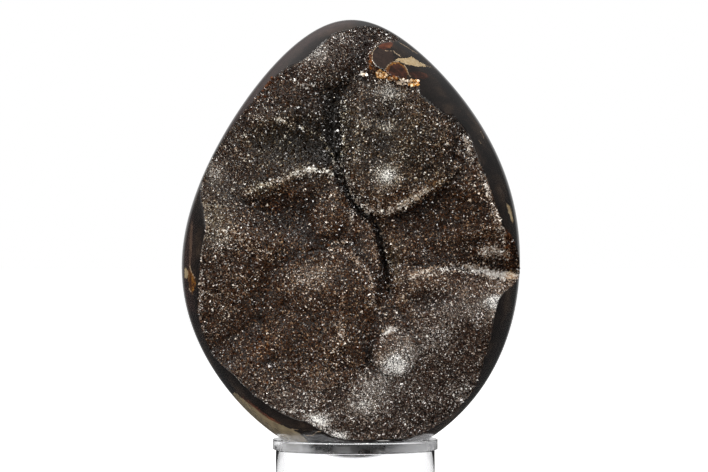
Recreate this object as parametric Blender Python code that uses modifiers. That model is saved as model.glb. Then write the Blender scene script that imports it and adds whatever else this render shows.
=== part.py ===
"""A septarian nodule: a dark stone ground to an egg and polished, broken open in front.

The broken face is the wall of a cavity, lined with one crust of small crystals. The stone
stands on end in a clear acrylic ring on a short clear acrylic tube. Metres, +Z up, the broken
face towards -Y, the origin at the middle of the footprint of the whole.
"""

import bpy
import numpy as np

MM = 0.001

# The egg, measured from the flat spot that is ground on its blunt end
EGG_HEIGHT = 210.5 * MM
EGG_POLE_BELOW_FLAT = 0.9 * MM
EGG_GIRTH_RADIUS = 80.3 * MM
EGG_BLUNTNESS = 0.142
EGG_TAPER = 0.165
EGG_LEAN = 1.1 * MM
EGG_LEAN_HEIGHT = 10 * MM
EGG_LEAN_PERIOD = 148 * MM
EGG_RINGS = 21
EGG_STEPS = 56

# The crust of crystals on the broken face
CRUST_THICKNESS = 3.0 * MM
CRUST_ROUGHNESS = 0.55 * MM
RELIEF_CELL = 5.1 * MM
LOWEST_BREAK = 10.9 * MM

# The stand: a ring on a length of three inch tube with a wall of an eighth of an inch
TUBE_RADIUS = 38.1 * MM
TUBE_WALL = 3.2 * MM
TUBE_LENGTH = 25.4 * MM
RING_RADIUS = 39.5 * MM
RING_THICKNESS = 4.8 * MM
RING_EDGE = 0.5 * MM
SEAT_CHAMFER = 0.7 * MM
STAND_STEPS = 48
STAND_OFFSET = 1.1 * MM

GAP = 0.3 * MM
SEED = 11

# The broken face, in millimetres: x to the right of the egg's axis, height above its flat spot.
# Depth is how far the face stands in front of the egg's axis.
FACE_CENTRE = (0, 95)
FACE_HALF_WIDTH = 74
FACE_ABOVE = 112
FACE_BELOW = 86
FACE_DEPTH = 35

# Depth of the face where it meets the egg, by the angle round its centre from +X, anticlockwise
RIM = [
    (-11, 32), (-4, 4), (1, 13), (9, 27), (14, 37), (24, 39), (37, 40), (48, 34), (58, 37), (68, 38),
    (76, 9), (84, 11), (92, 19), (104, 25), (116, 21), (130, 17), (144, 13), (152, 14), (160, 31),
    (167, 41), (177, 40), (188, 38), (200, 30), (212, 26), (224, 35), (240, 38), (254, 44), (264, 38),
    (275, 35), (289, 27), (303, 22), (312, 21), (322, 28), (336, 35), (346, 36), (349, 32),
]

# Lobes and hollows: centre x, height, half width, half height, rise, and how round the edge is
LOBES = {
    "upper right lobe": (21, 152, 27, 34, 7.5, 0.6),
    "lower left lobe": (-16, 67, 27, 33, 5.0, 0.6),
    "crown of the lower left lobe": (-19, 82, 15, 11, 2.4, 0.8),
    "small round lobe": (-12, 115, 9, 9, 3.2, 0.7),
    "lower right lobe": (41, 56, 33, 33, 5.0, 0.7),
    "knob": (20, 52, 11, 11, 4.5, 0.7),
    "bottom lobe": (-1, 30, 22, 15, 3.0, 0.8),
    "bottom left lobe": (-27, 37, 21, 13, 2.0, 0.8),
    "top lobe": (-12, 189, 19, 13, 3.5, 0.8),
    "hollow under the left ridge": (-33, 117, 24, 13, -3.0, 1.5),
    "hollow at upper left": (-27, 151, 25, 14, -5.0, 1.5),
    "hollow at the right": (43, 112, 27, 19, -5.5, 1.2),
    "hollow under the right ridge": (36, 77, 15, 7, -3.0, 1.5),
    "polished knob left at the top": (21, 189, 15, 9, 24.0, 0.35),
}

# Crests and creases: rise, width on the left of the path and on its right, then the path
CRESTS = {
    "left ridge": (4.2, 3.5, 6, [(-53, 125), (-45, 129), (-38, 130), (-31, 133), (-22, 138), (-10, 136)]),
    "faint upper ridge": (1.8, 3, 5, [(-50, 165), (-33, 161), (-22, 156), (-12, 150), (-7, 142)]),
    "right ridge": (4.5, 3.5, 9, [(16, 83), (22, 86), (32, 90), (48, 92), (60, 91), (72, 88), (86, 92)]),
    "bright blob": (2.5, 4, 3, [(58, 99), (65, 100), (74, 99)]),
    "lip of the upper lobe": (
        2.4, 4, 2.5,
        [(-6, 141), (-3, 133), (1, 125), (8, 120), (17, 119), (25, 122), (33, 127), (42, 133), (52, 140)],
    ),
    "light diagonal": (2.0, 8, 8, [(24, 55), (28, 57), (41, 65), (55, 71), (72, 78)]),
    "short upright ridge": (1.3, 2.5, 2.5, [(-5, 54), (-5, 68), (-5, 83)]),
    "left band": (1.6, 6, 6, [(-74, 124), (-53, 107), (-36, 96)]),
    "upper valley": (-8.0, 3.5, 11, [(8, 200), (0, 183), (-8, 168), (-9, 157), (-8, 147), (-5, 141)]),
    "main fissure": (
        -9.0, 1.9, 1.7,
        [(-8, 147), (-3, 131), (0, 124), (4, 119), (11, 114), (14, 103), (17, 84), (17, 78)],
    ),
    "crease under the upper lobe": (-3.0, 1.5, 6, [(0, 122), (14, 116), (28, 121), (40, 130), (54, 139)]),
    "right gully": (-3.0, 1.3, 1.3, [(57, 98), (62, 95), (68, 93), (75, 91), (84, 90)]),
}


def egg_radius(height):
    """Radius of the egg at a height above its flat spot: an ellipse with a blunted, tapered girth."""
    half = (EGG_HEIGHT + EGG_POLE_BELOW_FLAT) / 2
    middle = (EGG_HEIGHT - EGG_POLE_BELOW_FLAT) / 2
    c = np.clip((middle - np.asarray(height, dtype=float)) / half, -1, 1)
    return EGG_GIRTH_RADIUS * np.sqrt(1 - c * c) * (1 + EGG_BLUNTNESS * c - EGG_TAPER * c * c)


def egg_lean(height):
    """How far the egg's section at a height lies to the right of its axis: one slow wave."""
    return EGG_LEAN * np.cos(2 * np.pi * (height - EGG_LEAN_HEIGHT) / EGG_LEAN_PERIOD)


def smooth_path(points, pieces=6):
    """A Catmull-Rom curve through the points."""
    p = np.array([points[0], *points, points[-1]], dtype=float)
    t = np.linspace(0, 1, pieces, endpoint=False)[:, None]
    runs = [
        0.5 * (2 * b + (c - a) * t + (2 * a - 5 * b + 4 * c - d) * t**2 + (3 * b - a - 3 * c + d) * t**3)
        for a, b, c, d in zip(p, p[1:], p[2:], p[3:])
    ]
    return np.concatenate(runs + [p[-1:]])


def along_path(points, x, z):
    """Distance to the nearest piece of the path, which side of it, and how far along, 0 to 1."""
    path = smooth_path(points)
    nearest = np.full(x.shape, 1e9)
    side = np.zeros(x.shape)
    share = np.zeros(x.shape)
    for n, (a, b) in enumerate(zip(path, path[1:])):
        run = b - a
        dx = x - a[0]
        dz = z - a[1]
        t = np.clip((dx * run[0] + dz * run[1]) / (run @ run), 0, 1)
        away = np.hypot(dx - t * run[0], dz - t * run[1])
        closer = away < nearest
        nearest = np.where(closer, away, nearest)
        side = np.where(closer, run[0] * dz - run[1] * dx, side)
        share = np.where(closer, (n + t) / (len(path) - 1), share)
    return nearest, side, share


def face_depth(x, z):
    """Depth of the broken face, in millimetres, at x and a height in millimetres.

    The rim's depth blends into the depth of the middle. Lobes and hollows are raised or sunk
    ellipses, and crests and creases fall off exponentially to either side of their paths.
    """
    across = (x - FACE_CENTRE[0]) / FACE_HALF_WIDTH
    up = z - FACE_CENTRE[1]
    up = up / np.where(up > 0, FACE_ABOVE, FACE_BELOW)
    outward = np.clip(np.hypot(across, up), 0, 1)
    angle = np.degrees(np.arctan2(z - FACE_CENTRE[1], x - FACE_CENTRE[0])) % 360
    degrees, depths = np.array(RIM, dtype=float).T
    rim = np.interp(angle, degrees, depths, period=360)
    depth = FACE_DEPTH + (rim - FACE_DEPTH) * outward**2.2
    for cx, cz, half_width, half_height, rise, roundness in LOBES.values():
        reach = ((x - cx) / half_width) ** 2 + ((z - cz) / half_height) ** 2
        depth = depth + rise * np.clip(1 - reach, 0, 1) ** roundness
    for rise, left_width, right_width, points in CRESTS.values():
        away, side, share = along_path(points, x, z)
        width = np.where(side > 0, left_width, right_width)
        fade = np.clip(np.minimum(share, 1 - share) / 0.12, 0, 1)
        depth = depth + rise * fade * np.exp((0.8 - np.hypot(away, 0.8)) / width)
    return depth


def clear_objects():
    for old in list(bpy.data.objects):
        bpy.data.objects.remove(old, do_unlink=True)


def collection(name):
    made = bpy.data.collections.new(name)
    bpy.context.scene.collection.children.link(made)
    return made


def material(name, colour, roughness, transmission=0.0):
    made = bpy.data.materials.new(name)
    made.use_nodes = True
    shader = made.node_tree.nodes["Principled BSDF"]
    shader.inputs["Base Color"].default_value = (*colour, 1)
    shader.inputs["Roughness"].default_value = roughness
    shader.inputs["Transmission Weight"].default_value = transmission
    return made


def place(obj, group, origin, look=None):
    """Put an object in its collection and under the origin; a cutter has no material."""
    for old in list(obj.users_collection):
        old.objects.unlink(obj)
    group.objects.link(obj)
    obj.parent = origin
    if look:
        obj.data.materials.append(look)
    else:
        obj.hide_render = True
        obj.display_type = "WIRE"


def turned(name, profile, steps, closed):
    """An object turned round the Z axis from a profile that runs down its outer side."""
    count = len(profile)
    edges = [(n, n + 1) for n in range(count - 1)]
    if closed:
        edges.append((count - 1, 0))
    mesh = bpy.data.meshes.new(name)
    mesh.from_pydata([(r, 0, z) for r, z in profile], edges, [])
    obj = bpy.data.objects.new(name, mesh)
    screw = obj.modifiers.new("turn", "SCREW")
    screw.steps = steps
    screw.render_steps = steps
    screw.use_merge_vertices = True
    screw.merge_threshold = 0.00001
    return obj


def frozen(obj):
    """The object with its modifiers made into its mesh."""
    bpy.context.scene.collection.objects.link(obj)
    evaluated = obj.evaluated_get(bpy.context.evaluated_depsgraph_get())
    mesh = bpy.data.meshes.new_from_object(evaluated)
    obj.modifiers.clear()
    obj.data = mesh
    return obj


def egg(name, base):
    """The whole egg standing on its flat spot at the height base, leaning a little."""
    half = (EGG_HEIGHT + EGG_POLE_BELOW_FLAT) / 2
    middle = (EGG_HEIGHT - EGG_POLE_BELOW_FLAT) / 2
    flat_turn = np.arccos(middle / half)
    turns = np.linspace(np.pi, flat_turn, EGG_RINGS)
    heights = middle - half * np.cos(turns)
    profile = [(float(egg_radius(h)), float(h)) for h in heights]
    profile[0] = (0.0, EGG_HEIGHT)
    profile[-1] = (profile[-1][0], 0.0)
    obj = frozen(turned(name, profile + [(0.0, 0.0)], EGG_STEPS, False))
    for vertex in obj.data.vertices:
        vertex.co.x += egg_lean(vertex.co.z)
        vertex.co.z += base
    return obj


def relief_block(name, base, sink, bottom, far):
    """A block whose one face is the broken face, sunk by a depth; the other face is far along Y.

    The block starts as a grid. Its points are moved a little off their rows, so that no two
    facets are alike, and each cell is split along the diagonal that lies closer to the relief.
    """
    chance = np.random.default_rng(SEED)
    left = -EGG_GIRTH_RADIUS - 6 * MM
    top = EGG_HEIGHT + 4 * MM
    columns = int(round(-2 * left / RELIEF_CELL))
    rows = int(round((top - LOWEST_BREAK) / RELIEF_CELL))
    x, z = np.meshgrid(np.linspace(left, -left, columns + 1), np.linspace(LOWEST_BREAK, top, rows + 1))
    stray = chance.uniform(-0.22, 0.22, (2, *x.shape)) * RELIEF_CELL
    stray[1, 0] = 0
    x = x + stray[0]
    z = z + stray[1]
    z[0] = bottom
    rough = chance.uniform(-1, 1, x.shape) * CRUST_ROUGHNESS
    y = -(face_depth(x / MM, z / MM) * MM + rough - sink)
    number = np.arange(x.size).reshape(x.shape)
    corners = [number[:-1, :-1], number[:-1, 1:], number[1:, 1:], number[1:, :-1]]
    a, b, c, d = [corner.ravel() for corner in corners]
    mid_x = (x[:-1, :-1] + x[1:, 1:] + x[:-1, 1:] + x[1:, :-1]) / 4
    mid_z = (z[:-1, :-1] + z[1:, 1:] + z[:-1, 1:] + z[1:, :-1]) / 4
    true_y = (sink - face_depth(mid_x / MM, mid_z / MM) * MM).ravel()
    flat_y = y.ravel()
    rising = abs((flat_y[a] + flat_y[c]) / 2 - true_y) < abs((flat_y[b] + flat_y[d]) / 2 - true_y)
    first = np.where(rising[:, None], np.stack([a, b, c], 1), np.stack([a, b, d], 1))
    second = np.where(rising[:, None], np.stack([a, c, d], 1), np.stack([b, c, d], 1))
    front = np.stack([x.ravel(), flat_y, z.ravel() + base], 1)
    behind = front.copy()
    behind[:, 1] = far if far is not None else front[:, 1] + CRUST_THICKNESS
    faces = np.concatenate([first, second])
    count = len(front)
    rim = np.concatenate([number[0], number[1:, -1], number[-1, -2::-1], number[-2:0:-1, 0]])
    after = np.roll(rim, -1)
    walls = np.concatenate([
        np.stack([rim, rim + count, after + count], 1),
        np.stack([rim, after + count, after], 1),
    ])
    shell = np.concatenate([faces, faces[:, ::-1] + count, walls])
    if far is not None and far < -EGG_GIRTH_RADIUS:
        shell = shell[:, ::-1]
    mesh = bpy.data.meshes.new(name)
    mesh.from_pydata(np.concatenate([front, behind]).tolist(), [], shell.tolist())
    return bpy.data.objects.new(name, mesh)


def boolean(obj, operation, cutter):
    cut = obj.modifiers.new(operation.lower(), "BOOLEAN")
    cut.operation = operation
    cut.solver = "EXACT"
    cut.object = cutter


def ring_profile(bottom, top):
    """The ring's section, down its outer side and up its bore, with broken edges and a seat."""
    bore = TUBE_RADIUS - TUBE_WALL
    return [
        (RING_RADIUS - RING_EDGE, top),
        (RING_RADIUS, top - RING_EDGE),
        (RING_RADIUS, bottom + RING_EDGE),
        (RING_RADIUS - RING_EDGE, bottom),
        (bore, bottom),
        (bore, top - SEAT_CHAMFER),
        (bore + SEAT_CHAMFER, top),
    ]


def tube_profile():
    bore = TUBE_RADIUS - TUBE_WALL
    return [(TUBE_RADIUS, TUBE_LENGTH), (TUBE_RADIUS, 0), (bore, 0), (bore, TUBE_LENGTH)]


def seat_height():
    """Height on the egg, above its flat spot, of the ring's top when the egg rests in the seat."""
    heights = np.linspace(0, EGG_HEIGHT / 3, 2000)
    touching = TUBE_RADIUS - TUBE_WALL + SEAT_CHAMFER - 1.7 * GAP
    return float(np.interp(touching, egg_radius(heights), heights))


def footprint_centre(parts):
    """Middle, along X and Y, of the box round the evaluated parts."""
    bpy.context.view_layer.update()
    graph = bpy.context.evaluated_depsgraph_get()
    points = [np.array([v.co[:] for v in p.evaluated_get(graph).to_mesh().vertices]) for p in parts]
    points = np.concatenate([group + np.array(p.location) for group, p in zip(points, parts)])
    return (points.min(0) + points.max(0)) / 2


def main():
    clear_objects()
    parts = collection("septarian_nodule")
    cutters = collection("cutters")
    origin = bpy.data.objects.new("footprint_origin", None)
    parts.objects.link(origin)

    ring_base = TUBE_LENGTH + GAP
    ring_top = ring_base + RING_THICKNESS
    base = ring_top - seat_height()

    stone = material("polished dark limestone", (0.02, 0.017, 0.014), 0.12)
    crystals = material("dark brown calcite crystals", (0.055, 0.042, 0.033), 0.45)
    acrylic = material("clear acrylic", (0.95, 0.97, 0.98), 0.03, transmission=1.0)

    nodule = egg("nodule", base)
    place(nodule, parts, origin, stone)
    far_front = -EGG_GIRTH_RADIUS - 20 * MM
    break_out = relief_block("break_out", base, CRUST_THICKNESS + GAP, LOWEST_BREAK, far_front)
    place(break_out, cutters, origin)
    boolean(nodule, "DIFFERENCE", break_out)

    crust = relief_block("crystal_crust", base, 0, LOWEST_BREAK + GAP, None)
    place(crust, parts, origin, crystals)
    egg_blank = egg("egg_blank", base)
    place(egg_blank, cutters, origin)
    boolean(crust, "INTERSECT", egg_blank)

    stand_ring = turned("stand_ring", ring_profile(ring_base, ring_top), STAND_STEPS, True)
    stand_tube = turned("stand_tube", tube_profile(), STAND_STEPS, True)
    for piece in (stand_ring, stand_tube):
        place(piece, parts, origin, acrylic)
        piece.location.x = STAND_OFFSET

    centre = footprint_centre([nodule, crust, stand_ring, stand_tube])
    origin.location = (-centre[0], -centre[1], 0)


main()
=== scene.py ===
import bpy
import numpy as np
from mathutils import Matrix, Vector


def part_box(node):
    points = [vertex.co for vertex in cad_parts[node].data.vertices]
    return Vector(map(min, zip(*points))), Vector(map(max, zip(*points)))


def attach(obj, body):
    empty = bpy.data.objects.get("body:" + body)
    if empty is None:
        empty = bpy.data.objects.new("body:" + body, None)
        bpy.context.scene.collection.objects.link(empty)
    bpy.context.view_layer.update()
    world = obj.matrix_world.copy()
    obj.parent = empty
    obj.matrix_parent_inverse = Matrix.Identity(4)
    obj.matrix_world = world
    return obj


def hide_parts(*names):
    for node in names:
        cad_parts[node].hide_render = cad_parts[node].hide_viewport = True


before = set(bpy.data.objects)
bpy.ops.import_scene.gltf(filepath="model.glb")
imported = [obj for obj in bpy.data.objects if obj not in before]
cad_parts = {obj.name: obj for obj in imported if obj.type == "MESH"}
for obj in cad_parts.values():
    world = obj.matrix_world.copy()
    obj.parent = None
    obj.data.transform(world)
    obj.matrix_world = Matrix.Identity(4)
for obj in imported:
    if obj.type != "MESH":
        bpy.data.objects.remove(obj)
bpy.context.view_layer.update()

MM = 0.001

# The egg, in millimetres: x from its axis, height from the flat spot under it
EGG_HEIGHT = 210.5
EGG_POLE_BELOW_FLAT = 0.9
EGG_GIRTH_RADIUS = 80.3
EGG_BLUNTNESS = 0.142
EGG_TAPER = 0.165
EGG_LEAN = 1.1
EGG_LEAN_HEIGHT = 10
EGG_LEAN_PERIOD = 148
CRUST_THICKNESS = 3.0
GAP = 0.3
LOWEST_BREAK = 10.9
STAND_OFFSET = 1.1

# The broken face: depth in front of the egg's axis, by nearly the same rules as the solid under
# it. Here two faint edges are added, the bright blob and the right gully are gentler, and the
# standing stone has its own outline instead of a lobe.
FACE_CENTRE = (0, 95)
FACE_HALF_WIDTH = 74
FACE_ABOVE = 112
FACE_BELOW = 86
FACE_DEPTH = 35
RIM = [
    (-11, 32), (-4, 4), (1, 13), (9, 27), (14, 37), (24, 39), (37, 40), (48, 34), (58, 37), (68, 38),
    (76, 9), (84, 11), (92, 19), (104, 25), (116, 21), (130, 17), (144, 13), (152, 14), (160, 31),
    (167, 41), (177, 40), (188, 38), (200, 30), (212, 26), (224, 35), (240, 38), (254, 44), (264, 38),
    (275, 35), (289, 27), (303, 22), (312, 21), (322, 28), (336, 35), (346, 36), (349, 32),
]
LOBES = {
    "upper right lobe": (21, 152, 27, 34, 7.5, 0.6),
    "lower left lobe": (-16, 67, 27, 33, 5.0, 0.6),
    "crown of the lower left lobe": (-19, 82, 15, 11, 2.4, 0.8),
    "small round lobe": (-12, 115, 9, 9, 3.2, 0.7),
    "lower right lobe": (41, 56, 33, 33, 5.0, 0.7),
    "knob": (20, 52, 11, 11, 4.5, 0.7),
    "bottom lobe": (-1, 30, 22, 15, 3.0, 0.8),
    "bottom left lobe": (-27, 37, 21, 13, 2.0, 0.8),
    "top lobe": (-12, 189, 19, 13, 3.5, 0.8),
    "hollow under the left ridge": (-33, 117, 24, 13, -3.0, 1.5),
    "hollow at upper left": (-27, 151, 25, 14, -5.0, 1.5),
    "hollow at the right": (43, 112, 27, 19, -5.5, 1.2),
    "hollow under the right ridge": (36, 77, 15, 7, -3.0, 1.5),
}
CRESTS = {
    "left ridge": (4.2, 3.5, 6, [(-53, 125), (-45, 129), (-38, 130), (-31, 133), (-22, 138), (-10, 136)]),
    "faint upper ridge": (1.8, 3, 5, [(-50, 165), (-33, 161), (-22, 156), (-12, 150), (-7, 142)]),
    "right ridge": (4.5, 3.5, 9, [(16, 83), (22, 86), (32, 90), (48, 92), (60, 91), (72, 88), (86, 92)]),
    "bright blob": (1.4, 4, 3, [(58, 99), (65, 100), (74, 99)]),
    "lip of the upper lobe": (
        2.4, 4, 2.5,
        [(-6, 141), (-3, 133), (1, 125), (8, 120), (17, 119), (25, 122), (33, 127), (42, 133), (52, 140)],
    ),
    "light diagonal": (2.0, 8, 8, [(24, 55), (28, 57), (41, 65), (55, 71), (72, 78)]),
    "short upright ridge": (1.3, 2.5, 2.5, [(-5, 54), (-5, 68), (-5, 83)]),
    "left band": (1.6, 6, 6, [(-74, 124), (-53, 107), (-36, 96)]),
    "edge of the lower left lobe": (
        1.6, 1.3, 7,
        [(-14, 100), (-8, 101), (-2, 98.5), (3, 94), (7.5, 88.5), (9.6, 82), (9.4, 75), (8, 68)],
    ),
    "edge of the small lobe": (
        1.0, 1.2, 5,
        [(-21, 114), (-19, 120), (-14, 125), (-8, 126.5), (-2, 122), (1, 115), (0, 108), (-5, 104)],
    ),
    "upper valley": (-8.0, 3.5, 11, [(8, 200), (0, 183), (-8, 168), (-9, 157), (-8, 147), (-5, 141)]),
    "main fissure": (
        -9.0, 1.9, 1.7,
        [(-8, 147), (-3, 131), (0, 124), (4, 119), (11, 114), (14, 103), (17, 84), (17, 78)],
    ),
    "crease under the upper lobe": (-3.0, 1.5, 6, [(0, 122), (14, 116), (28, 121), (40, 130), (54, 139)]),
    "right gully": (-1.2, 0.9, 0.9, [(57, 98), (62, 95), (68, 93), (75, 91), (84, 90)]),
}

# Camera: level with the middle of the egg, far off with a long lens
CAMERA_DISTANCE = 1.7
CAMERA_HEIGHT = 0.12766
CAMERA_ASIDE = 0.0005
LENS_MM = 180.5
SENSOR_MM = 36

# The ring and the tube of the stand, in millimetres above the table, how finely they are turned,
# and which row of the ring's faces is its bore
BORE_RADIUS = 34.9
RING_RADIUS = 39.5
RING_BOTTOM = 25.7
RING_TOP = 30.5
SEAT_CHAMFER = 0.7
TUBE_RADIUS = 38.1
TUBE_LENGTH = 25.4
STAND_STEPS = 192
BORE_ROW = 17

# How many grains of each pattern fit in a metre, with the size of one
CLOUDS_PER_METRE = 70.0  # 14 mm, the clouds in the limestone
SPECKS_PER_METRE = 900.0  # 1.1 mm, the ragged edges of the inlays
BENDS_PER_METRE = 45.0  # 22 mm, the bends of the veins at the back
ISLANDS_PER_METRE = 30.0  # 33 mm, the islands between those veins
MOTTLES_PER_METRE = 300.0  # 3.3 mm, the mottling inside the inlays
PATCHES_PER_METRE = 80.0  # 12.5 mm, the matt patches of the ring's bore

# How far behind the egg's axis an island's middle lies for the back's pattern to show it, in mm
BACK_PATTERN_FROM = 18

CHANCE = np.random.default_rng(5)


def linear(colour, alpha=1.0):
    """An sRGB hex colour as linear values."""
    value = np.array([int(colour[n : n + 2], 16) for n in (1, 3, 5)]) / 255
    value = np.where(value <= 0.04045, value / 12.92, ((value + 0.055) / 1.055) ** 2.4)
    return (*value.tolist(), alpha)


def egg_radius(height):
    """Radius of the egg at a height above its flat spot: an ellipse with a blunted, tapered girth."""
    half = (EGG_HEIGHT + EGG_POLE_BELOW_FLAT) / 2
    middle = (EGG_HEIGHT - EGG_POLE_BELOW_FLAT) / 2
    c = np.clip((middle - height) / half, -1, 1)
    return EGG_GIRTH_RADIUS * np.sqrt(1 - c * c) * (1 + EGG_BLUNTNESS * c - EGG_TAPER * c * c)


def egg_lean(height):
    """How far the egg's section at a height lies to the right of its axis: one slow wave."""
    return EGG_LEAN * np.cos(2 * np.pi * (height - EGG_LEAN_HEIGHT) / EGG_LEAN_PERIOD)


def egg_front(x, height):
    """Depth of the whole egg's front in front of its axis, and below zero outside its outline."""
    radius = egg_radius(height)
    across = x - egg_lean(height)
    inside = radius**2 - across**2
    return np.where(inside > 0, np.sqrt(np.abs(inside)), -np.sqrt(np.abs(inside)))


def smooth_path(points, pieces=6):
    """A smooth curve through the points: between two of them a cubic, along the line of their neighbours."""
    p = np.array([points[0], *points, points[-1]], dtype=float)
    t = np.linspace(0, 1, pieces, endpoint=False)[:, None]
    runs = [
        0.5 * (2 * b + (c - a) * t + (2 * a - 5 * b + 4 * c - d) * t**2 + (3 * b - a - 3 * c + d) * t**3)
        for a, b, c, d in zip(p, p[1:], p[2:], p[3:])
    ]
    return np.concatenate(runs + [p[-1:]])


def along_path(points, x, z):
    """Distance to the nearest piece of the path, which side of it, and how far along, 0 to 1."""
    path = smooth_path(points)
    nearest = np.full(x.shape, 1e9)
    side = np.zeros(x.shape)
    share = np.zeros(x.shape)
    for n, (a, b) in enumerate(zip(path, path[1:])):
        run = b - a
        dx = x - a[0]
        dz = z - a[1]
        t = np.clip((dx * run[0] + dz * run[1]) / (run @ run), 0, 1)
        away = np.hypot(dx - t * run[0], dz - t * run[1])
        closer = away < nearest
        nearest = np.where(closer, away, nearest)
        side = np.where(closer, run[0] * dz - run[1] * dx, side)
        share = np.where(closer, (n + t) / (len(path) - 1), share)
    return nearest, side, share


def face_depth(x, z):
    """Depth of the broken face at x and a height.

    The rim's depth blends into the depth of the middle. Lobes and hollows are raised or sunk
    ellipses, and crests and creases fall off exponentially to either side of their paths.
    """
    across = (x - FACE_CENTRE[0]) / FACE_HALF_WIDTH
    up = z - FACE_CENTRE[1]
    up = up / np.where(up > 0, FACE_ABOVE, FACE_BELOW)
    outward = np.clip(np.hypot(across, up), 0, 1)
    angle = np.degrees(np.arctan2(z - FACE_CENTRE[1], x - FACE_CENTRE[0])) % 360
    degrees, depths = np.array(RIM, dtype=float).T
    rim = np.interp(angle, degrees, depths, period=360)
    depth = FACE_DEPTH + (rim - FACE_DEPTH) * outward**2.2
    for cx, cz, half_width, half_height, rise, roundness in LOBES.values():
        reach = ((x - cx) / half_width) ** 2 + ((z - cz) / half_height) ** 2
        depth = depth + rise * np.clip(1 - reach, 0, 1) ** roundness
    for rise, left_width, right_width, points in CRESTS.values():
        away, side, share = along_path(points, x, z)
        width = np.where(side > 0, left_width, right_width)
        fade = np.clip(np.minimum(share, 1 - share) / 0.12, 0, 1)
        depth = depth + rise * fade * np.exp((0.8 - np.hypot(away, 0.8)) / width)
    return depth


# Outline of the stone that still stands at the upper right, round which the crystals end
STANDING_STONE = [
    (24, 203), (23, 200), (20, 199), (16, 198.8), (12.5, 197.6), (10, 195.5), (8.8, 192), (9, 188.8),
    (11, 186), (14.5, 184.4), (18, 181.6), (22, 181), (25.5, 180.4), (31, 180.2), (33, 178),
    (33.2, 175.3), (35.5, 173), (38.5, 171), (42.5, 168.5), (47, 165.5), (62, 165), (62, 203),
]


def inside_distance(x, z, corners):
    """Distance from each point to a polygon's outline, above 0 inside it: nearest side, odd crossings."""
    nearest = np.full(x.shape, 1e9)
    odd = np.zeros(x.shape, dtype=bool)
    corners = np.array(corners, dtype=float)
    for a, b in zip(corners, np.roll(corners, -1, 0)):
        run = b - a
        t = np.clip(((x - a[0]) * run[0] + (z - a[1]) * run[1]) / (run @ run), 0, 1)
        nearest = np.minimum(nearest, np.hypot(x - a[0] - t * run[0], z - a[1] - t * run[1]))
        crosses = (a[1] > z) != (b[1] > z)
        height = run[1] if run[1] else 1.0
        odd ^= crosses & (x < a[0] + run[0] * (z - a[1]) / height)
    return np.where(odd, nearest, -nearest)


def round_the_standing_stone(depth, x, z):
    """The face led up to the egg's skin over 7 mm as it nears the standing stone, and past it inside."""
    reach = inside_distance(x, z, STANDING_STONE)
    nearness = np.exp(np.minimum(reach, 0) / 7)
    skin = np.maximum(egg_front(x, z), 0) + 0.6 + 3 * np.clip(reach, -1, 1.5)
    return np.maximum(depth, depth + (skin - depth) * nearness)


def lumps(x, z, size, seed):
    """Smooth noise from -1 to 1: random values at the corners of square cells, blended across each."""
    values = np.random.default_rng(seed).uniform(-1, 1, (97, 97))
    u = x / size + 400.5
    v = z / size + 400.5
    i = np.floor(u).astype(int)
    j = np.floor(v).astype(int)
    s = u - i
    t = v - j
    s = s * s * (3 - 2 * s)
    t = t * t * (3 - 2 * t)
    low = values[i % 97, j % 97] * (1 - s) + values[(i + 1) % 97, j % 97] * s
    high = values[i % 97, (j + 1) % 97] * (1 - s) + values[(i + 1) % 97, (j + 1) % 97] * s
    return low * (1 - t) + high * t


def blurred(field, cells):
    """The field with a box blur run three times each way, which is close to a bell curve."""
    for axis in (0, 1):
        for _ in range(3):
            padded = np.pad(field, [(cells + 1, cells) if n == axis else (0, 0) for n in (0, 1)], mode="edge")
            total = np.cumsum(padded, axis=axis)
            ahead = np.take(total, range(2 * cells + 1, total.shape[axis]), axis=axis)
            behind = np.take(total, range(0, total.shape[axis] - 2 * cells - 1), axis=axis)
            field = (ahead - behind) / (2 * cells + 1)
    return field


class Field:
    """Values on a grid of half millimetres over the face, read between its points.

    A value between four points is the mean of theirs, each weighted by how near it is.
    """

    STEP = 0.5
    LEFT = -90.0
    RIGHT = 90.1
    BOTTOM = 4.0
    TOP = 216.1

    def __init__(self, values):
        self.values = values

    @classmethod
    def points(cls):
        """The grid's own points, as x across the face and z up it."""
        return np.meshgrid(np.arange(cls.LEFT, cls.RIGHT, cls.STEP), np.arange(cls.BOTTOM, cls.TOP, cls.STEP))

    def at(self, x, z):
        """The values at x and z."""
        u = np.clip((x - self.LEFT) / self.STEP, 0, self.values.shape[1] - 1.001)
        v = np.clip((z - self.BOTTOM) / self.STEP, 0, self.values.shape[0] - 1.001)
        i = u.astype(int)
        j = v.astype(int)
        s = u - i
        t = v - j
        w = self.values
        low = w[j, i] * (1 - s) + w[j, i + 1] * s
        high = w[j + 1, i] * (1 - s) + w[j + 1, i + 1] * s
        return low * (1 - t) + high * t


stand_low, stand_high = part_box("stand_tube")
AXIS_X = (stand_low[0] + stand_high[0]) / 2 / MM - STAND_OFFSET
AXIS_Y = (stand_low[1] + stand_high[1]) / 2 / MM
BASE_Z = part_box("nodule")[0][2] / MM

grid_x, grid_z = Field.points()
smooth_depth = round_the_standing_stone(face_depth(grid_x, grid_z), grid_x, grid_z)
fine_depth = smooth_depth + 0.5 * lumps(grid_x, grid_z, 11, 1) + 0.28 * lumps(grid_x, grid_z, 4.3, 2)
fine_depth = fine_depth + 0.14 * lumps(grid_x, grid_z, 1.9, 3)
DEPTH = Field(fine_depth)
SLOPE_X = Field(np.gradient(fine_depth, Field.STEP, axis=1))
SLOPE_Z = Field(np.gradient(fine_depth, Field.STEP, axis=0))
# How much the face bulges at each point: it paints crystals lighter on ridges and darker in hollows, a
# painted highlight and painted shade
RELIEF_SHADING = Field(blurred(smooth_depth, 2) - blurred(smooth_depth, 9))

# The stone's skin behind the crust: the furthest back of the face within 2 mm, less crust and gap
hollows = np.minimum.reduce([np.roll(fine_depth, (i, j), (0, 1)) for i in (-4, 0, 4) for j in (-4, 0, 4)])
BEHIND = Field(hollows - CRUST_THICKNESS - GAP)


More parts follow.
